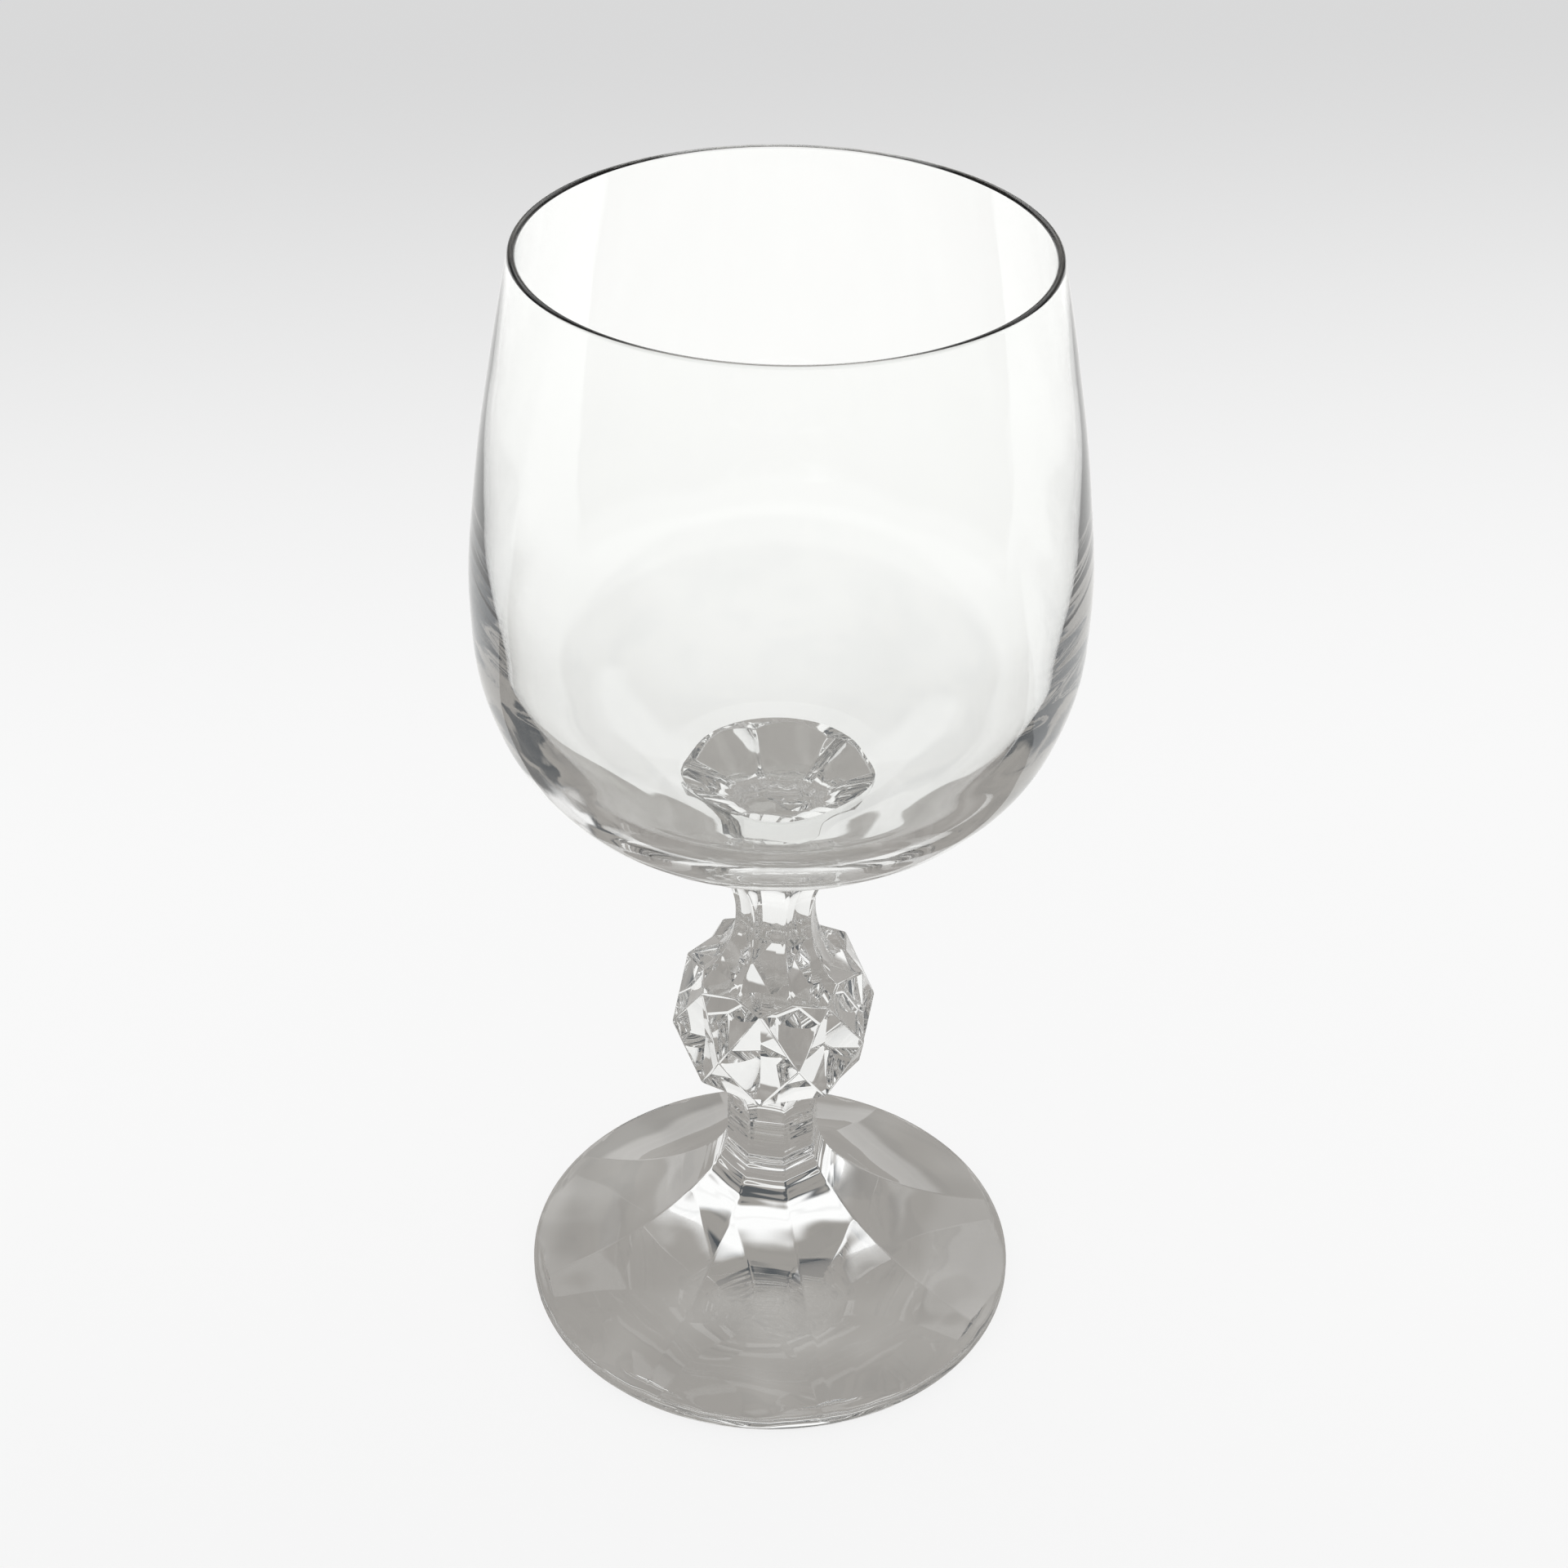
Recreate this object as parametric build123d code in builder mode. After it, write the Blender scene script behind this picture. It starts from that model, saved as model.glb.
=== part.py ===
from build123d import *
import os
from math import asin, cos, degrees, radians, sin, tan

# Small stemmed wine glass with a faceted ball in its stem. Millimetres.
# The origin is the centre of the foot's resting plane, and +Z runs up the stem's axis.
# Three pieces of glass are fused end to end: a pressed foot, a pressed stem with its
# ball, and a blown bowl.

# ---- Driving dimensions ---------------------------------------------------------

flutes = 8                  # flutes on the stem and on the foot, and facets round the ball

foot_top = 29.2             # height of the joint between foot and stem
bowl_seat = 75.8            # height of the joint between stem and bowl
rim_height = 150.0          # overall height

foot_r = 32.8               # radius of the foot's round rim
foot_edge = 2.2             # thickness at the rim
foot_turn = 1.0             # the foot's flutes sit this many degrees off the stem's
foot_neck = 5.75            # half width across the foot's flats where the stem lands
neck_drop = 4.7             # straight part of the foot's neck
throat_r, throat_turn = 12.0, 40    # the foot's flutes: three arcs from the neck ...
skirt_r, skirt_turn = 42.0, 26
brim_r, brim_turn = 59.0, 14        # ... to the rim
ring_r = 29.5               # inner radius of the flat ring that the foot rests on
hollow_rise = 1.4           # rise of the underside at the middle of the foot
land, land_rise = 1.2, 0.5  # narrow round land inside the rim, where the flutes run out
rim_round = 0.8             # rounding of the rim

ball_z = 44.2               # height of the ball's middle
ball_r = 13.6               # radius to the eight corners round its middle
tip_r, tip_rise = 11.5, 7.35        # tips of the diamonds, above and below the middle
dimple_r = 10.9             # the sunken centre of each diamond
notch_rise = 7.75           # corners between the tips, where the neck ridges land
upper_notch_r = 9.5         # radius of those corners above the ball
lower_notch_r = 10.1        # and below it
neck_sink = 0.15            # depth that each neck starts inside the ball

waist_rise = 16.3           # the necks are narrowest this far above and below the middle
upper_waist = 4.7           # half width across the flats at the upper waist
lower_waist = 5.3           # and at the lower one
throat_in = 2.7             # the flutes are this much wider where they meet the ball
flare_lean = 45.0           # lean of the flutes away from the axis below the bowl
hollow_reach = 8.6          # from the waist's flats out to the axis of a flute's hollow
scoop_lean = 18.5           # and how far that axis leans out
seat_r = 12.6               # radius of the disc that carries the bowl
past_ball = 3.0             # each flute's arc is drawn this many degrees on into the ball
past_seat = 1.0             # and its flare this far on past the bowl's seat

floor_z = 80.0              # inside floor of the bowl
rim_out = 30.3              # outer radius at the rim
lip = 0.9                   # thickness of the bowl's rolled rim

# ---- Derived places -------------------------------------------------------------

pitch = 360 / flutes
hollow_r = (ring_r**2 + hollow_rise**2) / (2 * hollow_rise)     # round hollow under the foot
scoop_fall = waist_rise - notch_rise
scoop_r = (scoop_fall**2 + throat_in**2) / (2 * throat_in)      # a flute's arc up the neck
shoulder_turn = degrees(asin(scoop_fall / scoop_r)) + past_ball
flare_rise = bowl_seat + past_seat - ball_z - waist_rise - scoop_r * sin(radians(flare_lean))
rim_in = rim_out - lip
lip_z = rim_height - lip / 2


def polar(radius, angle, z):
    """A point at a radius and an angle in degrees about the axis."""
    return (radius * cos(radians(angle)), radius * sin(radians(angle)), z)


def upright(angle):
    """The plane through the axis that reaches out along an angle in degrees."""
    out = (cos(radians(angle)), sin(radians(angle)), 0)
    side = (sin(radians(angle)), -cos(radians(angle)), 0)
    return Plane((0, 0, 0), x_dir=out, z_dir=side)


def facet(*points):
    """A flat facet through three or more points."""
    return Face(Wire.make_polygon(points, close=True))


def half_ball(sense, notch_r):
    """The facets above (sense 1) or below (sense -1) the ball's middle.

    Each flute has one half of a diamond, sunk to its centre, then a pair of facets that
    meet in a valley under each neck ridge, and a shallow roof that the neck stands on.
    """
    slope = (notch_rise - tip_rise) / (tip_r - notch_r * cos(radians(pitch / 2)))
    peak = (0, 0, ball_z + sense * (tip_rise + slope * tip_r))
    facets = []
    for k in range(flutes):
        mid, left, right = k * pitch, (k - 0.5) * pitch, (k + 0.5) * pitch
        tip = polar(tip_r, mid, ball_z + sense * tip_rise)
        next_tip = polar(tip_r, mid + pitch, ball_z + sense * tip_rise)
        dimple = polar(dimple_r, mid, ball_z)
        corner_left = polar(ball_r, left, ball_z)
        corner_right = polar(ball_r, right, ball_z)
        notch_left = polar(notch_r, left, ball_z + sense * notch_rise)
        notch_right = polar(notch_r, right, ball_z + sense * notch_rise)
        facets.append(facet(tip, corner_left, dimple))
        facets.append(facet(tip, dimple, corner_right))
        facets.append(facet(tip, corner_right, notch_right))
        facets.append(facet(corner_right, next_tip, notch_right))
        facets.append(facet(tip, notch_right, peak, notch_left))
    return facets


def lean_point(waist, z):
    """The point at height z on the leaning axis of a flute's hollow."""
    return (waist + hollow_reach + (z - notch_rise) * tan(radians(scoop_lean)), z)


def lean_axis(waist, sense):
    """That axis, above (sense 1) or below (sense -1) the ball's middle."""
    lean = radians(scoop_lean)
    return Axis((lean_point(waist, 0)[0], 0, 0), (sin(lean), 0, sense * cos(lean)))


def scoop_outline(waist):
    """Draw the outline of the hollow that shapes one flute above the ball.

    It runs up the middle of the flute, an arc past the waist and then a straight flare,
    and is closed by the leaning axis. Heights count from the ball's middle.
    """
    middle = (waist + scoop_r, waist_rise)
    arc = CenterArc(middle, scoop_r, 180 - flare_lean, flare_lean + shoulder_turn)
    flare = Line(arc @ 0, arc @ 0 + Vector(tan(radians(flare_lean)), 1) * flare_rise)
    top, bottom = flare @ 1, arc @ 1
    Polyline(top, lean_point(waist, top.Y), lean_point(waist, bottom.Y), bottom)


# ---- Foot: pressed trumpet with eight flutes that run out into a round rim --------

with BuildPart() as foot:
    with BuildSketch(Plane.XZ) as foot_blank:
        with BuildLine():
            Polyline((0, 0), (0, foot_top), (foot_r / 2, foot_top),
                     (foot_r - land, foot_edge + land_rise), (foot_r, foot_edge), (foot_r, 0), (0, 0))
        make_face()
        fillet(foot_blank.vertices().group_by(Axis.X)[-1], rim_round)
    revolve(axis=Axis.Z)
    for k in range(flutes // 2):
        with BuildSketch(upright(k * pitch + foot_turn)):
            with BuildLine():
                neck = Line((foot_neck, foot_top), (foot_neck, foot_top - neck_drop))
                throat = JernArc(neck @ 1, neck % 1, throat_r, throat_turn)
                skirt = JernArc(throat @ 1, throat % 1, skirt_r, skirt_turn)
                brim = JernArc(skirt @ 1, skirt % 1, brim_r, brim_turn)
                Polyline(brim @ 1, ((brim @ 1).X, 0), (0, 0), (0, foot_top), neck @ 0)
            make_face()
            mirror(about=Plane.YZ)
        extrude(amount=2 * foot_r, both=True, mode=Mode.INTERSECT)
    with Locations((0, 0, hollow_rise - hollow_r)):
        Sphere(hollow_r, mode=Mode.SUBTRACT)
foot.part.label = "foot"

# ---- Stem: two fluted necks with the faceted ball between them --------------------

with BuildPart() as upper_scoop:
    with BuildSketch(Plane.XZ):
        with BuildLine():
            scoop_outline(upper_waist)
        make_face()
    revolve(axis=lean_axis(upper_waist, 1))

with BuildPart() as lower_scoop:
    with BuildSketch(Plane((0, 0, 0), x_dir=(1, 0, 0), z_dir=(0, 1, 0))):
        with BuildLine():
            scoop_outline(lower_waist)
        make_face()
    revolve(axis=lean_axis(lower_waist, -1))

ball = Solid(Shell(half_ball(1, upper_notch_r) + half_ball(-1, lower_notch_r)))

with BuildPart() as stem:
    # Two round blanks, one from the foot up into the ball and one from the ball to the bowl.
    with BuildSketch(Plane.XY.offset(foot_top)):
        Circle(seat_r)
    extrude(amount=ball_z - notch_rise + neck_sink - foot_top)
    with BuildSketch(Plane.XY.offset(bowl_seat)):
        Circle(seat_r)
    extrude(amount=ball_z + notch_rise - neck_sink - bowl_seat)
    # The hollows of the flutes leave sharp ridges, and a round disc under the bowl.
    with Locations((0, 0, ball_z)):
        with PolarLocations(0, flutes):
            add(upper_scoop.part, mode=Mode.SUBTRACT)
            add(lower_scoop.part, mode=Mode.SUBTRACT)
    add(ball)
stem.part.label = "stem"

# ---- Bowl: blown, thick at the bottom and thin at the rolled rim ------------------

with BuildPart() as bowl:
    with BuildSketch(Plane.XZ):
        with BuildLine():
            Line((0, bowl_seat), (seat_r, bowl_seat))
            Spline((seat_r, bowl_seat), (21.7, 79.5), (30.0, 85.9), (34.9, 95.2),
                   (36.4, 106.5), (35.2, 121.9), (32.7, 137.5), (rim_out, lip_z),
                   tangents=((4, 1), (-0.2, 1)))
            ThreePointArc((rim_out, lip_z), (rim_out - lip / 2, rim_height), (rim_in, lip_z))
            Spline((rim_in, lip_z), (31.7, 137.5), (33.9, 121.9), (34.4, 107.5),
                   (32.5, 96.8), (27.8, 88.3), (20.6, 82.6), (seat_r, floor_z),
                   tangents=((0.2, -1), (-1, 0)))
            Polyline((seat_r, floor_z), (0, floor_z), (0, bowl_seat))
        make_face()
    revolve(axis=Axis.Z)
bowl.part.label = "bowl"

os.makedirs("parts", exist_ok=True)
for piece in (foot, stem, bowl):
    export_step(piece.part, f"parts/{piece.part.label}.step")
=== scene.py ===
"""Small stemmed wine glass: a pressed foot, a pressed stem with a faceted ball, and a blown bowl.

The three pieces of glass are fused end to end. Each new piece stands for the CAD solid of
the same name, with the softened edges and the surface that fire polishing leaves.
Metres, +Z up, the foot's resting plane at zero.
"""

from math import asin, cos, pi, radians, sin, tan

import bmesh
import bpy
import numpy as np
from bpy.props import FloatProperty, FloatVectorProperty, IntProperty, PointerProperty
from mathutils import Matrix, Vector


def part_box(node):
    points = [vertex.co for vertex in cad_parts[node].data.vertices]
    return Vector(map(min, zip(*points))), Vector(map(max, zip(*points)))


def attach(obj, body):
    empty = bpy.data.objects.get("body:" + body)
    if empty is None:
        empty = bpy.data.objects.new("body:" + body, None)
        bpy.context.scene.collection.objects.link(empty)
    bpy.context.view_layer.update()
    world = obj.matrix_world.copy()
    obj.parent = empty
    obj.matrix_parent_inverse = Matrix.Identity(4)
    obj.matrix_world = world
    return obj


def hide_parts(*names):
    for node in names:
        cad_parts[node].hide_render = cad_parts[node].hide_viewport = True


bl_info = {
    "name": "Faceted Stem Wine Glass",
    "version": (1, 0, 0),
    "blender": (4, 5, 0),
    "location": "3D View > Sidebar > Wine Glass",
    "description": "Builds a small wine glass with a fluted foot and a faceted ball in its stem",
    "category": "Object",
}

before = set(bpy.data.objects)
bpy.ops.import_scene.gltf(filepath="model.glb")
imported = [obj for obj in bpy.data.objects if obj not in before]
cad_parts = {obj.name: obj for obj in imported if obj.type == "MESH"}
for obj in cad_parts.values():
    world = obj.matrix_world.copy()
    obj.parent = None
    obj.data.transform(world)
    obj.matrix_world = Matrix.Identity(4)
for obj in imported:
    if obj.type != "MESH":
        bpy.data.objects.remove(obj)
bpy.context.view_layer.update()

MM = 0.001
FOOT_LOW, FOOT_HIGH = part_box("foot")
STEM_LOW, STEM_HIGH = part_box("stem")
BOWL_LOW, BOWL_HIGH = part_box("bowl")

# How finely the glass is meshed.
COLUMNS = (0, 0.12, 0.24, 0.36, 0.48, 0.6, 0.72, 0.84, 1)   # from a flute's middle to its ridge
FLUTE_ROWS = 34             # up each neck of the stem
FOOT_ROWS = 60              # down the foot's flutes
RIM_ROWS = 14               # round the foot's rim
UNDER_ROWS = 10             # across its underside
BOWL_STEPS = 256            # round the bowl
ARC_POINTS = 90             # along each arc of a flute's outline
FLARE_POINTS = 12           # along the straight flare below the bowl
RIM_TOP_POINTS = 24         # along the two roundings of the foot's rim
RIM_FOOT_POINTS = 16
LIP_POINTS = 13             # over the bowl's rolled lip
CURVE_STEPS = 16            # between two places on the bowl's outline
POLISH_STEPS = 3            # across each polished edge
HALVINGS = 40               # of the gap in which a surface is looked for
ROOF_ROUNDS = 6             # tries at the line where a flute meets the ball's roof

# How near is near enough.
SMOOTH_UNDER = radians(27)  # edges that bend less than this are shaded smooth
SHARP_OVER = radians(15)    # edges of the stem that bend more than this are polished
WELD = 2e-6                 # points nearer than this are one point
MIRROR_WELD = 1e-7
LEVEL = 1e-6                # an edge that climbs less than this is level
FUSED_WITHIN = 2e-5         # faces nearer than this to a joint's plane lie in the joint
ON_RIDGE = 2e-5             # points nearer than this to a ridge lie on it
EDGE_MARGIN = 0.1 * MM      # ridges are polished down to this far below the top of the rim
UPRIGHT = 0.99              # and so they face almost straight up or down

# The fused joints.
JOINT_IN = 0.02 * MM        # width of the ledge round the glass that runs through a joint
RIDGE_IN = 1.2              # the same at a ridge, as a share of the edge polish
NECK_JOINT, SEAT_JOINT = 6.6 * MM, 12.6 * MM    # no wider than these
FUSED = ((STEM_LOW.z, NECK_JOINT), (STEM_HIGH.z, SEAT_JOINT))
PAST_BALL = radians(3)      # a flute's hollow is followed this far on into the ball
PAST_SEAT = 2 * MM          # and this far on past the bowl's seat


def length(name, description, millimetres):
    """A property that holds a length, given in millimetres and kept in metres."""
    return FloatProperty(name=name, description=description, default=millimetres * MM,
                         min=0.0, precision=5, subtype="DISTANCE", unit="LENGTH")


def angle(name, description, degrees):
    """A property that holds an angle, given in degrees and kept in radians."""
    return FloatProperty(name=name, description=description, default=radians(degrees),
                         subtype="ANGLE", unit="ROTATION")


def colour(name, description, rgb):
    """A property that holds a linear colour."""
    return FloatVectorProperty(name=name, description=description, default=rgb,
                               min=0.0, max=1.0, size=3, subtype="COLOR")


class FluteSizes(bpy.types.PropertyGroup):
    """Sizes that the foot and the stem share."""

    count: IntProperty(name="Flutes", description="Flutes round the stem and the foot",
                       default=8, min=3, max=24)
    polish: length("Edge polish", "How far the fire polish eats back each sharp edge", 0.22)
    foot_turn: angle("Foot turn", "How far the foot's flutes sit off the stem's", 1.0)


class FootSizes(bpy.types.PropertyGroup):
    """Sizes of the pressed foot."""

    edge: length("Edge", "Thickness at the rim", 2.2)
    neck: length("Neck", "Half width across the flats where the stem lands", 5.75)
    neck_drop: length("Neck drop", "Straight part of the neck", 4.7)
    throat: length("Throat radius", "Radius of the flute's first arc", 12.0)
    throat_turn: angle("Throat turn", "How far the first arc turns", 40.0)
    skirt: length("Skirt radius", "Radius of the flute's second arc", 42.0)
    skirt_turn: angle("Skirt turn", "How far the second arc turns", 26.0)
    brim: length("Brim radius", "Radius of the flute's last arc", 59.0)
    brim_turn: angle("Brim turn", "How far the last arc turns", 14.0)
    land: length("Land", "Width of the round land inside the rim", 1.2)
    land_rise: length("Land rise", "How far the land rises from the rim", 0.5)
    rim_round: length("Rim rounding", "Radius of the rim's rounding", 0.8)
    ring: length("Ring", "Inner radius of the flat ring that the foot rests on", 29.5)
    hollow: length("Hollow", "Rise of the underside at the middle", 1.4)


class StemSizes(bpy.types.PropertyGroup):
    """Sizes of the pressed stem and its ball."""

    ball_rise: length("Ball height", "Height of the ball's middle above the stem's foot", 15.0)
    ball: length("Ball radius", "Radius to the corners round the ball's middle", 13.6)
    tip: length("Tip radius", "Radius of the diamonds' upper and lower tips", 11.5)
    tip_rise: length("Tip rise", "Height of those tips from the ball's middle", 7.35)
    dimple: length("Dimple radius", "Radius of each diamond's sunken centre", 10.9)
    notch_rise: length("Notch rise", "Height of the corners where the ridges land", 7.75)
    upper_notch: length("Upper notch", "Radius of those corners above the ball", 9.5)
    lower_notch: length("Lower notch", "Radius of those corners below the ball", 10.1)
    waist_rise: length("Waist rise", "Height of the narrowest place from the ball's middle", 16.3)
    upper_waist: length("Upper waist", "Half width across the flats at the upper waist", 4.7)
    lower_waist: length("Lower waist", "Half width across the flats at the lower waist", 5.3)
    throat_in: length("Throat", "How much wider the flutes are where they meet the ball", 2.7)
    flare: angle("Flare", "Lean of the flutes away from the axis below the bowl", 45.0)
    reach: length("Hollow reach", "From the waist's flats out to the hollow's axis", 8.6)
    lean: angle("Hollow lean", "Lean of the axis of each flute's hollow", 18.5)
    seat: length("Seat", "Radius of the disc that carries the bowl", 12.6)


class BowlSizes(bpy.types.PropertyGroup):
    """Sizes of the blown bowl."""

    rim: length("Rim", "Outer radius at the rim", 30.3)
    lip: length("Lip", "Thickness of the rolled rim", 0.9)
    floor: length("Floor", "Thickness of glass under the bowl's inside floor", 4.2)


def polar(radius, turn, height):
    """A point at a radius and an angle about the glass's axis."""
    return (radius * cos(turn), radius * sin(turn), height)


def column_turns(flutes):
    """Angles from the middle of a flute to its ridge, where the mesh has its columns."""
    half = pi / flutes
    return [half * t for t in COLUMNS]


# ---- Shaping tools ---------------------------------------------------------------


def deselect():
    """Leave edit mode and select nothing."""
    if bpy.context.object and bpy.context.object.mode != "OBJECT":
        bpy.ops.object.mode_set(mode="OBJECT")
    bpy.ops.object.select_all(action="DESELECT")


def make_object(name, points, faces=(), edges=()):
    """A new mesh object, selected and active."""
    deselect()
    mesh = bpy.data.meshes.new(name)
    mesh.from_pydata(points, edges, faces)
    piece = bpy.data.objects.new(name, mesh)
    bpy.context.scene.collection.objects.link(piece)
    piece.select_set(True)
    bpy.context.view_layer.objects.active = piece
    return piece


def apply_modifier(piece, kind, **settings):
    """Add a modifier with settings, and apply it."""
    modifier = piece.modifiers.new(kind.title(), kind)
    for key, value in settings.items():
        setattr(modifier, key, value)
    bpy.ops.object.modifier_apply(modifier=modifier.name)


def repeat_wedge(piece, flutes):
    """Turn half a flute into the whole round piece."""
    apply_modifier(piece, "MIRROR", use_axis=(False, True, False), merge_threshold=MIRROR_WELD)
    bpy.ops.object.mode_set(mode="EDIT")
    bpy.ops.mesh.select_all(action="SELECT")
    bpy.ops.mesh.spin(steps=flutes - 1, angle=2 * pi * (flutes - 1) / flutes, dupli=True,
                      center=(0, 0, 0), axis=(0, 0, 1))
    bpy.ops.mesh.select_all(action="SELECT")
    bpy.ops.mesh.remove_doubles(threshold=WELD)
    bpy.ops.mesh.normals_make_consistent(inside=False)
    bpy.ops.object.mode_set(mode="OBJECT")


def polish_edges(piece, width, chosen):
    """Round the edges for which chosen(edge's two points, angle between its faces) is true."""
    bpy.ops.object.mode_set(mode="EDIT")
    bpy.ops.mesh.select_mode(type="EDGE")
    bpy.ops.mesh.select_all(action="DESELECT")
    body = bmesh.from_edit_mesh(piece.data)
    for edge in body.edges:
        bend = edge.calc_face_angle_signed(0.0)
        edge.select_set(bool(chosen(edge.verts[0].co, edge.verts[1].co, bend)))
    body.select_flush_mode()
    bmesh.update_edit_mesh(piece.data)
    bpy.ops.mesh.bevel(offset=width, offset_type="OFFSET", segments=POLISH_STEPS, profile=0.5,
                       affect="EDGES", clamp_overlap=True)
    bpy.ops.object.mode_set(mode="OBJECT")


def off_ridge(point, flutes):
    """How far a point lies from the nearest ridge, as a length along its circle."""
    reach = (point.x**2 + point.y**2) ** 0.5
    around = np.arctan2(point.y, point.x) % (2 * pi / flutes) - pi / flutes
    return abs(around) * reach


def finish_piece(piece, node, materials):
    """Smooth the shading, give the glass its materials, and let the piece stand for its CAD solid."""
    deselect()
    piece.select_set(True)
    bpy.context.view_layer.objects.active = piece
    bpy.ops.object.shade_smooth_by_angle(angle=SMOOTH_UNDER, keep_sharp_edges=False)
    apply_modifier(piece, "WEIGHTED_NORMAL", keep_sharp=True, weight=100)
    for material in materials:
        piece.data.materials.append(material)
    for face in piece.data.polygons:
        if face.material_index == 0 and any(
                abs(face.center.z - height) < FUSED_WITHIN and abs(face.normal.z) > UPRIGHT
                and face.center.xy.length < reach for height, reach in FUSED):
            face.material_index = 1
    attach(piece, "root")
    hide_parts(node)


# ---- Outlines --------------------------------------------------------------------


def spaced(outline, fractions):
    """Points at fractions of the way along an outline of (radius, height) points."""
    outline = np.asarray(outline, float)
    steps = np.hypot(*np.diff(outline, axis=0).T)
    way = np.concatenate(([0], np.cumsum(steps)))
    at = np.asarray(fractions) * way[-1]
    return np.column_stack((np.interp(at, way, outline[:, 0]), np.interp(at, way, outline[:, 1])))


def arc(centre, radius, start, end, steps):
    """Points on an arc of an outline, between two angles."""
    return [(centre[0] + radius * cos(a), centre[1] + radius * sin(a))
            for a in np.linspace(start, end, steps)]


class Hollow:
    """The lemon-shaped hollow that makes one flute of the stem, round its leaning axis.

    Heights count away from the ball's middle, so one hollow serves above and below.
    """

    def __init__(self, size, waist, far):
        fall = size.waist_rise - size.notch_rise
        bend = (fall**2 + size.throat_in**2) / (2 * size.throat_in)
        low = asin(fall / bend) + PAST_BALL
        curve = [(waist + bend * (1 - cos(a)), size.waist_rise + bend * sin(a))
                 for a in np.linspace(-low, size.flare, ARC_POINTS)]
        out, up = curve[-1]
        curve += [(out + tan(size.flare) * rise, up + rise)
                  for rise in np.linspace(0, far - up + PAST_SEAT, FLARE_POINTS)[1:]]
        self.lean = size.lean
        self.foot = waist + size.reach - size.notch_rise * tan(size.lean)
        curve = np.array(curve)
        self.along = (curve[:, 0] - self.foot) * sin(self.lean) + curve[:, 1] * cos(self.lean)
        self.around = abs((curve[:, 0] - self.foot) * cos(self.lean) - curve[:, 1] * sin(self.lean))

    def radius(self, turn, rise):
        """How far from the glass's axis the flute's surface lies."""
        near, away = 0.0, (self.foot + rise * tan(self.lean)) * cos(turn)
        for _ in range(HALVINGS):
            middle = (near + away) / 2
            out = middle * cos(turn) - self.foot
            along = out * sin(self.lean) + rise * cos(self.lean)
            across = out * cos(self.lean) - rise * sin(self.lean)
            if np.hypot(across, middle * sin(turn)) > np.interp(along, self.along, self.around):
                near = middle
            else:
                away = middle
        return near

    def rise_to(self, turn, radius, low, high):
        """The height at which the flaring flute reaches a radius."""
        for _ in range(HALVINGS):
            middle = (low + high) / 2
            if self.radius(turn, middle) < radius:
                low = middle
            else:
                high = middle
        return low


def add_row(points, new_points):
    """Add a row of points to a list, and return their numbers."""
    points.extend(new_points)
    return list(range(len(points) - len(new_points), len(points)))


def strip(low, high):
    """The faces between two rows of a wedge."""
    return [(low[k], low[k + 1], high[k + 1], high[k]) for k in range(len(low) - 1)]


# ---- Pieces ----------------------------------------------------------------------


def stem_half(points, faces, size, flutes, sense, notch, hollow, seat, end_rise, ring):
    """Half a flute of the stem on one side of the ball's middle, with the ball's facets.

    sense is 1 above the ball and -1 below. The flute runs from the ball's roof to end_rise,
    or to the disc under the bowl where seat gives that disc's radius. ring holds the
    numbers of the dimple and the corner on the ball's middle.
    """
    turns = column_turns(flutes)
    middle = STEM_LOW.z + size.ball_rise
    dimple, corner = ring
    tip = add_row(points, [polar(size.tip, 0, middle + sense * size.tip_rise)])[0]
    fall = (size.notch_rise - size.tip_rise) / (size.tip - notch * cos(turns[-1]))
    first = []
    for turn in turns[:-1]:
        rise = size.notch_rise
        for _ in range(ROOF_ROUNDS):
            reach = hollow.radius(turn, rise)
            rise = size.tip_rise + fall * (size.tip - reach * cos(turn))
        first.append((reach, rise))
    first.append((notch, size.notch_rise))
    row = add_row(points, [polar(reach, turn, middle + sense * rise)
                           for (reach, rise), turn in zip(first, turns)])
    faces += [(dimple, corner, tip), (corner, row[-1], tip), (tip, *reversed(row))]
    ends = [end_rise if seat is None else hollow.rise_to(turn, seat, size.waist_rise, end_rise)
            for turn in turns]
    for t in np.linspace(0, 1, 1 + FLUTE_ROWS)[1:]:
        heights = [start + (end - start) * t for (_, start), end in zip(first, ends)]
        above = add_row(points, [polar(hollow.radius(turn, rise), turn, middle + sense * rise)
                                 for turn, rise in zip(turns, heights)])
        faces += strip(row, above)
        row = above
    if seat is not None:
        above = add_row(points, [polar(seat, turn, middle + sense * end_rise) for turn in turns])
        faces += strip(row, above)
        row = above
    return row


def joint_outline(flutes):
    """Radii, column by column, of the glass that runs through the joint of foot and stem."""
    scene = bpy.context.scene
    foot, stem = scene.wine_glass_foot, scene.wine_glass_stem
    hollow = Hollow(stem, stem.lower_waist, stem.ball_rise)
    radii = [min(foot.neck / cos(turn), hollow.radius(turn, stem.ball_rise)) - JOINT_IN
             for turn in column_turns(flutes)]
    radii[-1] -= RIDGE_IN * scene.wine_glass_flutes.polish
    return radii


def close_joint(points, faces, row, radii, turns, height):
    """Close the end of a neck: a thin ledge, and inside it the glass that runs on."""
    inner = add_row(points, [polar(reach, turn, height) for reach, turn in zip(radii, turns)])
    faces += strip(row, inner)
    centre = add_row(points, [(0, 0, height)])[0]
    faces += [(inner[k], inner[k + 1], centre) for k in range(len(inner) - 1)]


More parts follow.
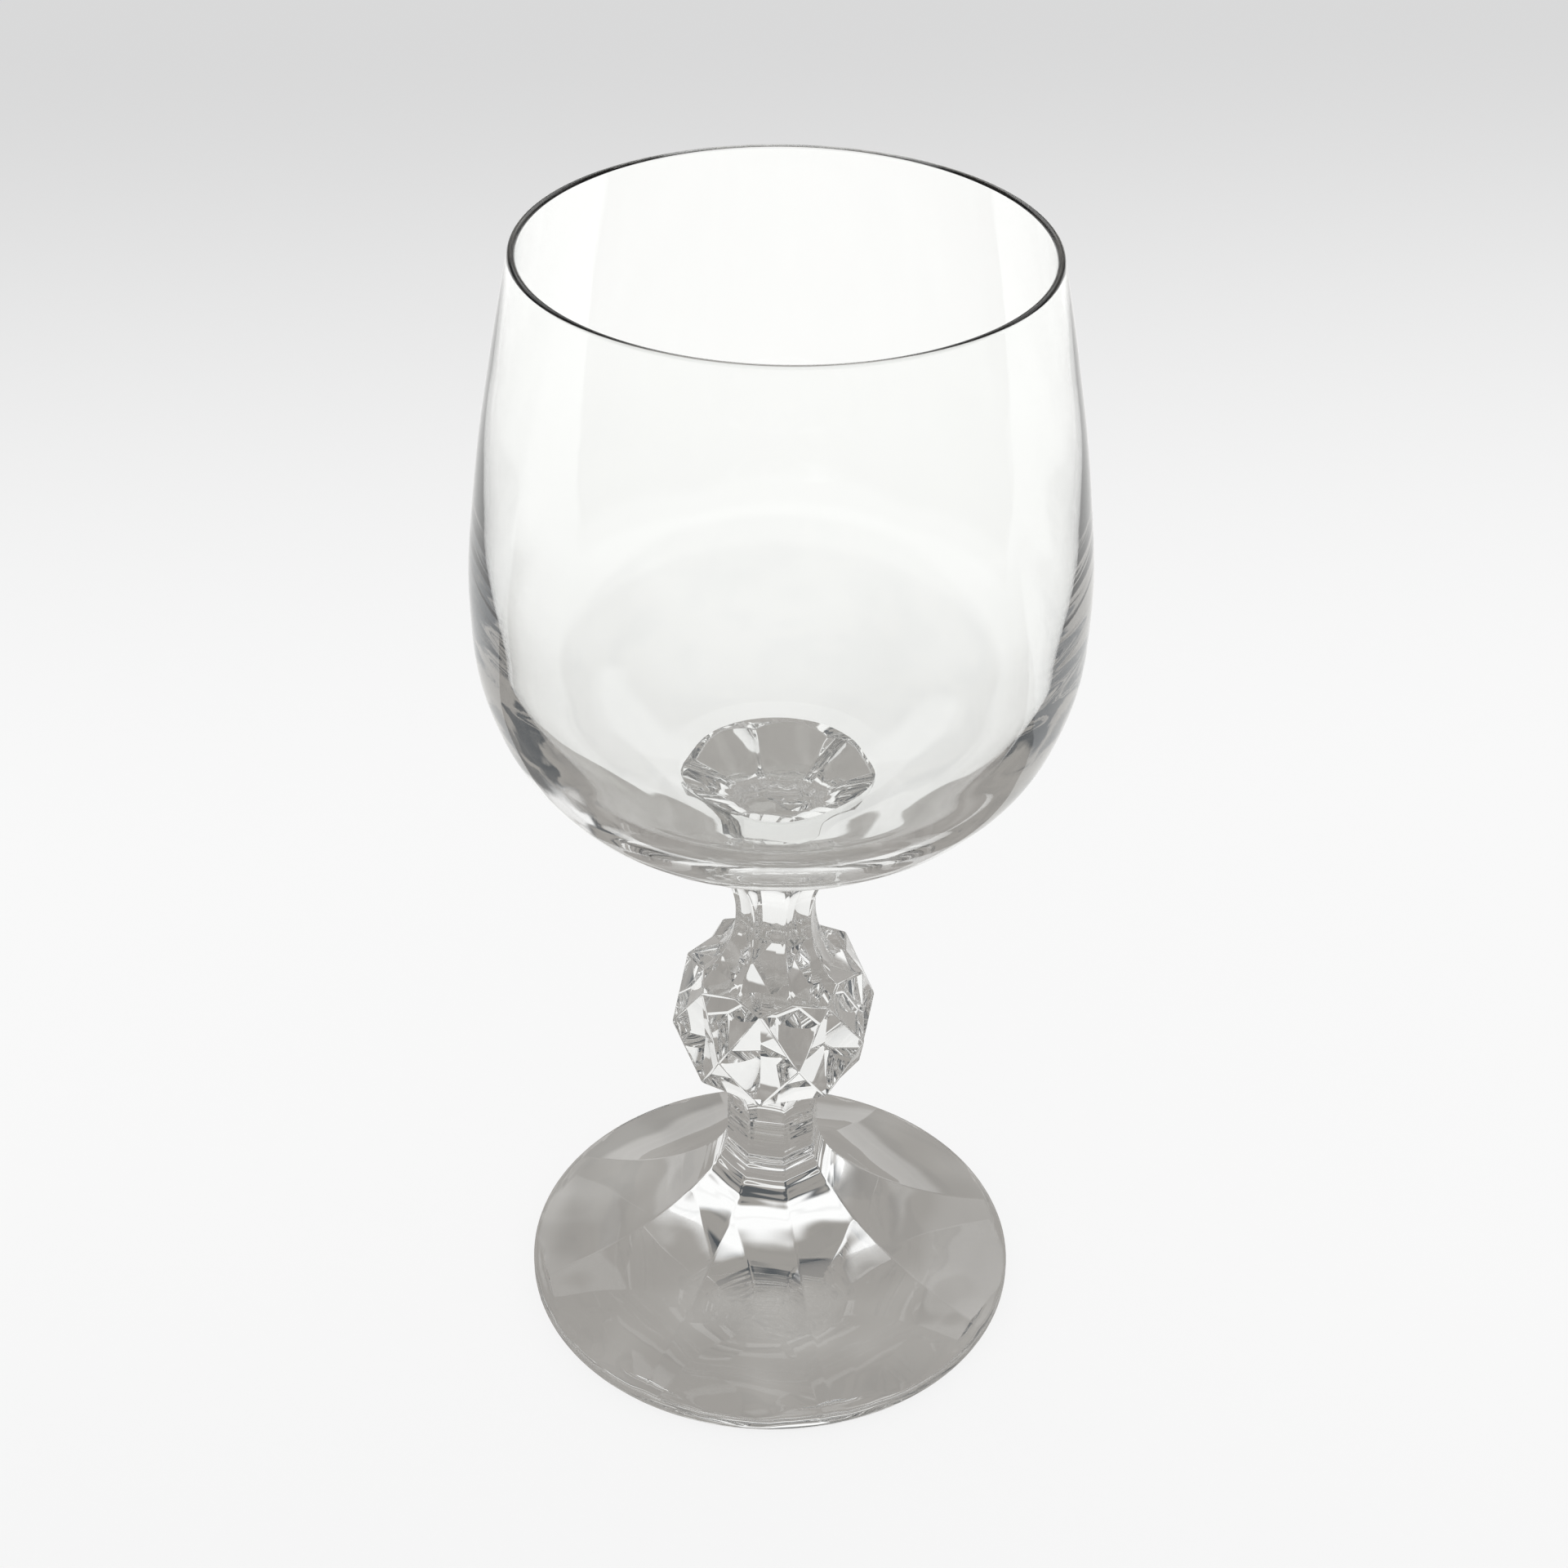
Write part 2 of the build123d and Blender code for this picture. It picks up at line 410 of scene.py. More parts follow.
class WINEGLASS_OT_stem(bpy.types.Operator):
    """Make the pressed stem: two fluted necks with the faceted ball between them"""

    bl_idname = "wineglass.stem"
    bl_label = "Make the stem"
    bl_options = {"REGISTER", "UNDO"}

    def execute(self, context):
        size, shared = context.scene.wine_glass_stem, context.scene.wine_glass_flutes
        turns = column_turns(shared.count)
        middle = STEM_LOW.z + size.ball_rise
        top_rise = STEM_HIGH.z - middle
        points, faces = [], []
        ring = add_row(points, [polar(size.dimple, 0, middle), polar(size.ball, turns[-1], middle)])
        upper = Hollow(size, size.upper_waist, top_rise)
        lower = Hollow(size, size.lower_waist, size.ball_rise)
        row = stem_half(points, faces, size, shared.count, 1, size.upper_notch, upper,
                        size.seat, top_rise, ring)
        close_joint(points, faces, row, [size.seat - JOINT_IN] * len(turns), turns, STEM_HIGH.z)
        row = stem_half(points, faces, size, shared.count, -1, size.lower_notch, lower,
                        None, size.ball_rise, ring)
        close_joint(points, faces, row, joint_outline(shared.count), turns, STEM_LOW.z)
        piece = make_object("stem_glass", points, faces)
        repeat_wedge(piece, shared.count)

        def pressed_edge(a, b, bend):
            ends = (STEM_LOW.z, STEM_HIGH.z)
            return bend > SHARP_OVER and not any(
                abs(a.z - z) < FUSED_WITHIN and abs(b.z - z) < FUSED_WITHIN for z in ends)

        polish_edges(piece, shared.polish, pressed_edge)
        finish_piece(piece, "stem", pressed_materials())
        return {"FINISHED"}


class WINEGLASS_OT_foot(bpy.types.Operator):
    """Make the pressed foot: a fluted trumpet that runs out into a round rim"""

    bl_idname = "wineglass.foot"
    bl_label = "Make the foot"
    bl_options = {"REGISTER", "UNDO"}

    def flute_outline(self, size, top):
        """The line down the middle of a flute, from the neck to past the rim."""
        line = [(size.neck, top), (size.neck, top - size.neck_drop)]
        x, z, slope = size.neck, top - size.neck_drop, -pi / 2
        for radius, turn in ((size.throat, size.throat_turn), (size.skirt, size.skirt_turn),
                             (size.brim, size.brim_turn)):
            centre = (x - radius * sin(slope), z + radius * cos(slope))
            line += arc(centre, radius, slope - pi / 2, slope + turn - pi / 2, ARC_POINTS)[1:]
            slope += turn
            x, z = line[-1]
        return np.array(line)

    def rim_outline(self, size, reach, top):
        """The round outline that cuts the flutes off, from above the land to the resting plane."""
        land_slope = np.arctan2(size.land_rise, size.land)
        half = (pi / 2 - land_slope) / 2
        back = size.rim_round * tan(half)
        side = reach - size.rim_round
        line = [(reach / 2, top), (reach - size.land, size.edge + size.land_rise)]
        line += arc((side, size.edge - back), size.rim_round, pi / 2 - land_slope, 0, RIM_TOP_POINTS)
        line += arc((side, size.rim_round), size.rim_round, 0, -pi / 2, RIM_FOOT_POINTS)
        return np.array(line)

    def execute(self, context):
        size, shared = context.scene.wine_glass_foot, context.scene.wine_glass_flutes
        turns = column_turns(shared.count)
        top, reach = FOOT_HIGH.z, FOOT_HIGH.x
        flute = self.flute_outline(size, top)
        rim = self.rim_outline(size, reach, top)
        falling = rim[: len(rim) - RIM_FOOT_POINTS]
        columns = []
        for turn in turns:
            radii = flute[:, 0] / cos(turn)
            gaps = np.interp(radii, falling[:, 0], falling[:, 1], right=0.0) - flute[:, 1]
            end = int(np.argmax(gaps < 0))
            gap = gaps[end - 1:end + 1]
            t = gap[0] / (gap[0] - gap[1])
            meet = (radii[end - 1] + t * (radii[end] - radii[end - 1]),
                    flute[end - 1, 1] + t * (flute[end, 1] - flute[end - 1, 1]))
            down = np.vstack((np.column_stack((radii[:end], flute[:end, 1])), [meet]))
            past = rim[(rim[:, 0] > meet[0]) | (rim[:, 1] < size.edge / 2)]
            past = np.vstack(([meet], past))
            fluted = spaced(down, np.linspace(0, 1, 1 + FOOT_ROWS))
            round_part = spaced(past, np.linspace(0, 1, 1 + RIM_ROWS))[1:]
            columns.append(np.vstack((fluted, round_part)))
        points, faces = [], []
        rows = [add_row(points, [polar(column[k][0], turn, column[k][1])
                                 for column, turn in zip(columns, turns)])
                for k in range(len(columns[0]))]
        for low, high in zip(rows, rows[1:]):
            faces += strip(low, high)
        ball = (size.ring**2 + size.hollow**2) / (2 * size.hollow)
        row = rows[-1]
        for t in np.linspace(1, 0, 1 + UNDER_ROWS)[:-1]:
            out = size.ring * t
            rise = size.hollow - ball + (ball**2 - out**2) ** 0.5
            below = add_row(points, [polar(out, turn, rise) for turn in turns])
            faces += strip(row, below)
            row = below
        centre = add_row(points, [(0, 0, size.hollow)])[0]
        faces += [(row[k], row[k + 1], centre) for k in range(len(row) - 1)]
        close_joint(points, faces, rows[0], joint_outline(shared.count), turns, top)
        piece = make_object("foot_glass", points, faces)
        repeat_wedge(piece, shared.count)

        def ridge(a, b, bend):
            low, high = sorted((a.z, b.z))
            ridged = max(off_ridge(a, shared.count), off_ridge(b, shared.count)) < ON_RIDGE
            return (ridged and low > size.edge - EDGE_MARGIN and high > low + LEVEL
                    and a.xy.length < reach - size.land)

        polish_edges(piece, shared.polish, ridge)
        piece.data.transform(Matrix.Rotation(shared.foot_turn, 4, "Z"))
        finish_piece(piece, "foot", pressed_materials())
        return {"FINISHED"}


# Radius and height, in millimetres, of places on the outside and on the inside of the bowl.
OUTSIDE = ((21.7, 79.5), (30.0, 85.9), (34.9, 95.2), (36.37, 106.5), (35.2, 121.9), (32.7, 137.5))
INSIDE = ((31.7, 137.5), (33.9, 121.9), (34.4, 107.5), (32.5, 96.8), (27.8, 88.3), (20.6, 82.6))
SEAT_WAY = (2.9, 0.72)      # how the outlines leave the seat, reach the lip, and come back down
RIM_WAY = (-0.9, 4.5)
FLOOR_WAY = (-3, 0)


class WINEGLASS_OT_bowl(bpy.types.Operator):
    """Make the blown bowl, thick at the bottom and thin at its rolled rim"""

    bl_idname = "wineglass.bowl"
    bl_label = "Make the bowl"
    bl_options = {"REGISTER", "UNDO"}

    def curve(self, points, start, end):
        """A smooth line through an outline's points, with its directions at both ends."""
        bpy.ops.curve.primitive_bezier_curve_add()
        line = bpy.context.object
        line.data.resolution_u = CURVE_STEPS
        spline = line.data.splines[0]
        spline.bezier_points.add(len(points) - 2)
        for knot, (out, up) in zip(spline.bezier_points, points):
            knot.co = (out * MM, 0, up * MM)
            knot.handle_left_type = knot.handle_right_type = "AUTO"
        first, last = spline.bezier_points[0], spline.bezier_points[-1]
        for knot, way, sense in ((first, start, 1), (last, end, -1)):
            knot.handle_left_type = knot.handle_right_type = "FREE"
            handle = knot.co + Vector((way[0], 0, way[1])) * sense * MM
            knot.handle_right = knot.handle_left = handle
        bpy.ops.object.convert(target="MESH")
        outline = [(v.co.x, v.co.z) for v in line.data.vertices]
        bpy.data.objects.remove(line)
        return outline

    def execute(self, context):
        size, seat = context.scene.wine_glass_bowl, context.scene.wine_glass_stem.seat
        low, high = BOWL_LOW.z, BOWL_HIGH.z
        inner_rim = size.rim - size.lip
        shoulder = high - size.lip / 2
        deselect()
        outside = self.curve([(seat / MM, low / MM), *OUTSIDE, (size.rim / MM, shoulder / MM)],
                             SEAT_WAY, RIM_WAY)
        lip = arc((size.rim - size.lip / 2, shoulder), size.lip / 2, 0, pi, LIP_POINTS)[1:-1]
        inside = self.curve([(inner_rim / MM, shoulder / MM), *INSIDE,
                             (seat / MM, (low + size.floor) / MM)],
                            (-RIM_WAY[0], -RIM_WAY[1]), FLOOR_WAY)
        outline = [(0, low), (seat - JOINT_IN, low), *outside, *lip, *inside, (0, low + size.floor)]
        points = [(out, 0, up) for out, up in outline]
        piece = make_object("bowl_glass", points, edges=[(k, k + 1) for k in range(len(points) - 1)])
        bpy.ops.object.mode_set(mode="EDIT")
        bpy.ops.mesh.select_all(action="SELECT")
        bpy.ops.mesh.spin(steps=BOWL_STEPS, angle=2 * pi, center=(0, 0, 0), axis=(0, 0, 1))
        bpy.ops.mesh.select_all(action="SELECT")
        bpy.ops.mesh.remove_doubles(threshold=WELD)
        bpy.ops.mesh.normals_make_consistent(inside=False)
        bpy.ops.object.mode_set(mode="OBJECT")
        finish_piece(piece, "bowl", blown_materials())
        return {"FINISHED"}


# ---- Materials -------------------------------------------------------------------


class Value:
    """A number or colour that flows through a material's nodes.

    Arithmetic on it adds Math nodes, so a material is written as plain expressions.
    """

    def __init__(self, nodes, socket):
        self.nodes, self.socket = nodes, socket

    def math(self, operation, *others):
        return self.nodes.add("ShaderNodeMath", {"operation": operation},
                              {0: self, **{k + 1: other for k, other in enumerate(others)}})

    def reflected(self, operation, other):
        return self.nodes.add("ShaderNodeMath", {"operation": operation}, {0: other, 1: self})

    def __add__(self, other):
        return self.math("ADD", other)

    def __sub__(self, other):
        return self.math("SUBTRACT", other)

    def __mul__(self, other):
        return self.math("MULTIPLY", other)

    def __radd__(self, other):
        return self.reflected("ADD", other)

    def __rsub__(self, other):
        return self.reflected("SUBTRACT", other)

    def __rmul__(self, other):
        return self.reflected("MULTIPLY", other)


class Nodes:
    """The nodes of one material or of the world."""

    def __init__(self, owner):
        owner.use_nodes = True
        self.tree = owner.node_tree
        self.tree.nodes.clear()

    def add(self, kind, settings=None, inputs=None, output=0):
        """Add a node: its settings first, then the values or links of its sockets."""
        made = self.tree.nodes.new(kind)
        for key, value in (settings or {}).items():
            setattr(made, key, value)
        for key, value in (inputs or {}).items():
            if isinstance(value, Value):
                self.tree.links.new(value.socket, made.inputs[key])
            else:
                made.inputs[key].default_value = value
        return Value(self, made.outputs[output]) if len(made.outputs) else None

    def place(self, scale=(1, 1, 1), turn=(0, 0, 0)):
        """Places on the piece, stretched and turned."""
        where = self.add("ShaderNodeTexCoord", output="Object")
        return self.add("ShaderNodeMapping", {}, {"Vector": where, "Scale": scale, "Rotation": turn})

    def noise(self, where, size, detail=2.0, roughness=0.5):
        """Smooth random values near a half, with features of a size in metres."""
        return self.add("ShaderNodeTexNoise", {}, {"Vector": where, "Scale": 1 / size,
                                                   "Detail": detail, "Roughness": roughness})

    def split(self, vector):
        """The three parts of a vector."""
        made = self.add("ShaderNodeSeparateXYZ", {}, {"Vector": vector})
        return [Value(self, socket) for socket in made.socket.node.outputs]

    def ramp(self, value, start, end, low=0.0, high=1.0):
        """A soft step of a value, from low at start to high at end."""
        return self.add("ShaderNodeMapRange", {"interpolation_type": "SMOOTHSTEP"},
                        {"Value": value, "From Min": start, "From Max": end,
                         "To Min": low, "To Max": high})

    def mix(self, factor, first, second):
        """A colour between two colours."""
        made = self.add("ShaderNodeMix", {"data_type": "RGBA"}, {0: factor, 6: first, 7: second})
        return Value(self, made.socket.node.outputs[2])


# Sizes of the marks on the glass, and how high each stands beside the swell of its surface.
GLASS_INDEX = 1.52
TINT_CLOUDS = 9 * MM
PRESSED_SWELL = 5 * MM
MOULD_SKIN, SKIN_SHARE = 0.9 * MM, 0.02
RING_WANDER, RING_UNEVEN, RING_SHARE = 6 * MM, 4, 3.0
RING_FADE_LOW, RING_FADE_HIGH = 4 * MM, 1 * MM
SAG, SAG_SHARE = 7 * MM, 24.0
SAG_START, SAG_FULL = 25 * MM, 17 * MM          # heights between which the foot's sag sets in
BLOWN_SWELL, SWELL_STRETCH = 14 * MM, (1, 1, 0.4)
STREAKS, STREAK_SHARE = 2.2 * MM, 0.08
STREAK_STRETCH, STREAK_LEAN = (1, 1, 0.08), (0, 0.25, 0)
PRESSED_WEAR, BLOWN_WEAR, WEAR_STRETCH = 2.5 * MM, 4 * MM, (1, 1, 0.3)
WEAR_HAZE = 0.01            # roughness where the surface is most worn


def clear_glass(name, look, ripples, haze):
    """Clear glass with its own tint, its ripples as a height, and a haze on its surface."""
    material = bpy.data.materials.new(name)
    nodes = Nodes(material)
    height, depth = ripples(nodes)
    bump = nodes.add("ShaderNodeBump", {}, {"Strength": 1.0, "Distance": depth, "Height": height})
    cloud = nodes.noise(nodes.place(), TINT_CLOUDS, detail=3)
    tint = nodes.mix(cloud, (*look.tint, 1), (*look.tint_deep, 1))
    glass = nodes.add("ShaderNodeBsdfPrincipled", {"distribution": "GGX"},
                      {"Base Color": tint, "Roughness": haze(nodes), "IOR": GLASS_INDEX,
                       "Transmission Weight": 1.0, "Normal": bump})
    nodes.add("ShaderNodeOutputMaterial", {}, {"Surface": glass})
    return material


def fused_glass():
    """Inside a fused joint there is no surface: the glass simply runs on."""
    material = bpy.data.materials.get("fused_joint") or bpy.data.materials.new("fused_joint")
    nodes = Nodes(material)
    through = nodes.add("ShaderNodeBsdfTransparent", {}, {"Color": (1, 1, 1, 1)})
    nodes.add("ShaderNodeOutputMaterial", {}, {"Surface": through})
    return material


def pressed_materials():
    """The foot and the stem: a slight mould skin under the fire polish."""
    look = bpy.context.scene.wine_glass_look

    def ripples(nodes):
        swell = nodes.noise(nodes.place(), PRESSED_SWELL, detail=1)
        skin = nodes.noise(nodes.place(), MOULD_SKIN, detail=2)
        height = nodes.split(nodes.place())[2]
        sag = nodes.ramp(height, SAG_START, SAG_FULL) * nodes.noise(nodes.place(), SAG, detail=0)
        wander = nodes.noise(nodes.place((1, 1, 0.2)), RING_WANDER, detail=1)
        rings = (height * (2 * pi / look.ring_pitch) + wander * RING_UNEVEN).math("SINE")
        low, high = look.ring_low, FOOT_HIGH.z
        neck = (nodes.ramp(height, low, low + RING_FADE_LOW)
                * nodes.ramp(height, high, high - RING_FADE_HIGH))
        marks = skin * SKIN_SHARE + rings * neck * RING_SHARE + sag * SAG_SHARE
        return swell + marks, look.pressed_ripple

    def haze(nodes):
        return nodes.noise(nodes.place(), PRESSED_WEAR, detail=4, roughness=0.6) * WEAR_HAZE

    found = bpy.data.materials.get("pressed_clear_glass")
    return found or clear_glass("pressed_clear_glass", look, ripples, haze), fused_glass()


def blown_materials():
    """The bowl: faint drawn streaks that climb round it, and a slow swell."""
    look = bpy.context.scene.wine_glass_look

    def ripples(nodes):
        swell = nodes.noise(nodes.place(SWELL_STRETCH), BLOWN_SWELL, detail=1)
        streaks = nodes.noise(nodes.place(STREAK_STRETCH, STREAK_LEAN), STREAKS, detail=2)
        return swell + streaks * STREAK_SHARE, look.blown_ripple

    def haze(nodes):
        return nodes.noise(nodes.place(WEAR_STRETCH), BLOWN_WEAR, detail=4, roughness=0.6) * WEAR_HAZE

    return clear_glass("blown_clear_glass", look, ripples, haze), fused_glass()


class GlassLook(bpy.types.PropertyGroup):
    """The look of the glass."""

    tint: colour("Tint", "What the clear glass lets through", (0.985, 0.99, 0.985))
    tint_deep: colour("Cloud tint", "The same where the batch is a little darker", (0.97, 0.975, 0.97))
    pressed_ripple: length("Pressed ripple", "Height of the ripples on pressed glass", 0.006)
    blown_ripple: length("Blown ripple", "Height of the ripples on blown glass", 0.015)
    ring_pitch: length("Ring pitch", "Height from one chill ring on the foot's neck to the next", 1.15)
    ring_low: length("Ring end", "Height above the table at which the chill rings fade out", 15.0)


class StageLook(bpy.types.PropertyGroup):
    """The floor, the soft room that the glass mirrors, and the camera."""

    floor: colour("Floor", "Glow of the pale floor round the glass", (0.95, 0.95, 0.95))
    floor_far: colour("Floor, far", "Glow of the pale floor far behind", (0.67, 0.67, 0.672))
    room: colour("Room", "Warm grey of the room that only the glass sees", (0.35, 0.335, 0.315))
    shade: colour("Shade", "Cool dark grey in parts of that room", (0.075, 0.085, 0.095))
    table: colour("Table", "Warm grey of the table top that only the glass sees", (0.36, 0.344, 0.326))
    table_lit: colour("Table, lit", "The table top where soft light falls on it", (0.47, 0.455, 0.435))
    paper: colour("Paper", "Pale paper behind the table's edge", (1.0, 1.0, 0.99))
    window: FloatProperty(name="Window", description="Strength of the tall soft window light",
                          default=1.08, min=0.0)
    window_low: angle("Window foot", "Elevation of the window's lower edge", 26.5)
    window_high: angle("Window head", "Elevation of the window's upper edge", 41.5)
    window_wide: angle("Window width", "How far the window reaches to each side", 57.0)
    table_behind: length("Table edge", "How far the table top reaches behind the glass", 58.0)
    table_reach: length("Table reach", "How far the table top reaches to the sides and the front",
                        230.0)
    distance: length("Camera distance", "How far the camera stands from the axis", 275.2)
    height: length("Camera height", "How high the camera stands", 266.6)
    azimuth: angle("Camera azimuth", "How far the camera stands round to the right", 8.5)
    pitch: angle("Camera pitch", "How far the camera looks down", 34.23)
    yaw: angle("Camera yaw", "How far the camera looks to the right", 0.16)
    roll: angle("Camera roll", "How far the camera leans", 1.02)
    lens: FloatProperty(name="Lens", description="Focal length on a 36 mm sensor, in millimetres",
                        default=62.04, min=1.0)


# ---- Stage -----------------------------------------------------------------------

LIGHT_STEPS = 32            # turns that light may take inside the glass
FLOOR_SIZE, FLOOR_DROP = 3.0, 0.5 * MM
FLOOR_GLOW, FLOOR_GRAIN, GRAIN_SHARE = 0.9, 3 * MM, 0.02
FLOOR_SLANT = 0.3           # the floor's painted shade deepens a little more to the left
FAR_FADE = (0.10, 0.54)     # places between which painted shade darkens the floor behind the glass ...
FRONT_FADE, FRONT_SHARE = (0.03, -0.12), 0.12       # ... and, a little, before it
SKY = (0.93, 0.93, 0.93, 1)
ROOM_RADIUS = 4.0
ROOM_CLOUDS, CLOUDS_STRETCH, CLOUDS_FADE = 1.4, (1, 1, 1.6), (0.48, 0.56)
WINDOW_SOFT = radians(2.5)  # half the width of the window's soft edges
BAR, BAR_HALF, BAR_LIGHT = radians(34), radians(1.6), 0.90      # a bar across the window
HORIZON = (radians(6), radians(2))      # the room is pale below these elevations
CARD_SIZE, CARD_DROP = 3.0, 0.2 * MM
TABLE_CLOUDS, TABLE_FADE = 26 * MM, (0.45, 0.75)
EDGE_WAVES, EDGE_WANDER, EDGE_SOFT = 18 * MM, 6 * MM, 1.2 * MM  # the table's edge
TABLE_END = 1.5             # the table has gone at this many times its reach
PAPER_FAR, PAPER_LIGHT = 0.28, (0.93, 1.06)     # the paper brightens up to this far behind
SENSOR = 36.0
CLIP = (0.01, 20.0)


def only_for_glass(card, material):
    """Hide a card from the camera and the floor, so that only the glass mirrors and bends it."""
    card.data.materials.append(material)
    card.visible_camera = card.visible_diffuse = card.visible_shadow = False


class WINEGLASS_OT_stage(bpy.types.Operator):
    """Set the pale floor, the soft light, the cards that the glass mirrors, and the camera"""

    bl_idname = "wineglass.stage"
    bl_label = "Set the stage"
    bl_options = {"REGISTER", "UNDO"}

    def make_floor(self, look):
        deselect()
        bpy.ops.mesh.primitive_plane_add(size=FLOOR_SIZE, location=(0, 0, -FLOOR_DROP))
        floor = bpy.context.object
        floor.name = "floor"
        material = bpy.data.materials.new("pale_floor")
        nodes = Nodes(material)
        where = nodes.place()
        across, along, _ = nodes.split(where)
        grain = nodes.noise(where, FLOOR_GRAIN, detail=3)
        # Painted shade: the floor's glow stands in for the soft light on it and is darkened in its
        # colour behind the glass, more to the left, and a little in front of it.
        away = nodes.ramp(along - across * FLOOR_SLANT, *FAR_FADE)
        before = nodes.ramp(along, *FRONT_FADE) * FRONT_SHARE
        painted_shade = away + before + (grain - 0.5) * GRAIN_SHARE
        tone = nodes.mix(painted_shade, (*look.floor, 1), (*look.floor_far, 1))
        light = nodes.add("ShaderNodeEmission", {}, {"Color": tone, "Strength": FLOOR_GLOW})
        paper = nodes.add("ShaderNodeBsdfDiffuse", {}, {"Color": (0.1, 0.1, 0.1, 1)})
        both = nodes.add("ShaderNodeAddShader", {}, {0: light, 1: paper})
        nodes.add("ShaderNodeOutputMaterial", {}, {"Surface": both})
        floor.data.materials.append(material)

    def make_room(self, look):
        deselect()
        bpy.ops.mesh.primitive_uv_sphere_add(segments=32, ring_count=16, radius=ROOM_RADIUS,
                                             location=(0, 0, 0))
        room = bpy.context.object
        room.name = "room"
        only_for_glass(room, self.room_tone(look))
        bpy.ops.mesh.primitive_plane_add(size=CARD_SIZE, location=(0, 0, -CARD_DROP))
        table = bpy.context.object
        table.name = "table_card"
        only_for_glass(table, self.table_tone(look))

    def room_tone(self, look):
        """Warm grey with cooler clouds, and a tall soft window behind the glass."""
        material = bpy.data.materials.new("room_tone")
        nodes = Nodes(material)
        across, along, up = nodes.split(nodes.place([1 / ROOM_RADIUS] * 3))
        rise = up.math("ARCSINE")
        aside = across.math("ARCTAN2", along).math("ABSOLUTE")
        soft = WINDOW_SOFT
        lit = (nodes.ramp(rise, look.window_low - soft, look.window_low + soft)
               * nodes.ramp(rise, look.window_high + soft, look.window_high - soft)
               * nodes.ramp(aside, look.window_wide + 2 * soft, look.window_wide - 2 * soft))
        bar = nodes.ramp((rise - BAR).math("ABSOLUTE"), 0.0, BAR_HALF, BAR_LIGHT, 1.0)
        clouds = nodes.noise(nodes.place(CLOUDS_STRETCH), ROOM_CLOUDS, detail=2)
        wall = nodes.mix(nodes.ramp(clouds, *CLOUDS_FADE), (*look.room, 1), (*look.shade, 1))
        tone = nodes.mix(lit * bar, wall, (look.window, look.window, look.window, 1))
        tone = nodes.mix(nodes.ramp(rise, *HORIZON), tone, (*look.paper, 1))
        light = nodes.add("ShaderNodeEmission", {}, {"Color": tone, "Strength": 1.0})
        nodes.add("ShaderNodeOutputMaterial", {}, {"Surface": light})
        return material

    def table_tone(self, look):
        """A warm grey table top, softly lit in places, with pale paper behind its edge."""
        material = bpy.data.materials.new("table_tone")
        nodes = Nodes(material)
        where = nodes.place()
        across, along, _ = nodes.split(where)
        clouds = nodes.noise(where, TABLE_CLOUDS, detail=2)
        top = nodes.mix(nodes.ramp(clouds, *TABLE_FADE), (*look.table, 1), (*look.table_lit, 1))
        sheet = nodes.ramp(along, look.table_behind, PAPER_FAR, *PAPER_LIGHT)
        edge = along + (nodes.noise(where, EDGE_WAVES, detail=1) - 0.5) * EDGE_WANDER
        behind = nodes.ramp(edge, look.table_behind - EDGE_SOFT, look.table_behind + EDGE_SOFT)
        outward = across.math("ABSOLUTE").math("MAXIMUM", along * -1.0)
        around = nodes.ramp(outward, look.table_reach, look.table_reach * TABLE_END)
        tone = nodes.mix(behind.math("MAXIMUM", around), top, (*look.paper, 1))
        strength = 1.0 + behind * (sheet - 1.0)
        light = nodes.add("ShaderNodeEmission", {}, {"Color": tone, "Strength": strength})
        nodes.add("ShaderNodeOutputMaterial", {}, {"Surface": light})
        return material

    def make_world(self):
        world = bpy.data.worlds.new("soft_light")
        bpy.context.scene.world = world
        nodes = Nodes(world)
        sky = nodes.add("ShaderNodeBackground", {}, {"Color": SKY, "Strength": 1.0})
        nodes.add("ShaderNodeOutputWorld", {}, {"Surface": sky})

    def make_camera(self, look):
        turn = (Matrix.Rotation(look.azimuth - look.yaw, 4, "Z")
                @ Matrix.Rotation(pi / 2 - look.pitch, 4, "X") @ Matrix.Rotation(look.roll, 4, "Z"))
        place = (look.distance * sin(look.azimuth), -look.distance * cos(look.azimuth), look.height)
        bpy.ops.object.camera_add(location=place, rotation=turn.to_euler())
        camera = bpy.context.object
        camera.data.sensor_width, camera.data.lens = SENSOR, look.lens
        camera.data.clip_start, camera.data.clip_end = CLIP
        bpy.context.scene.camera = camera

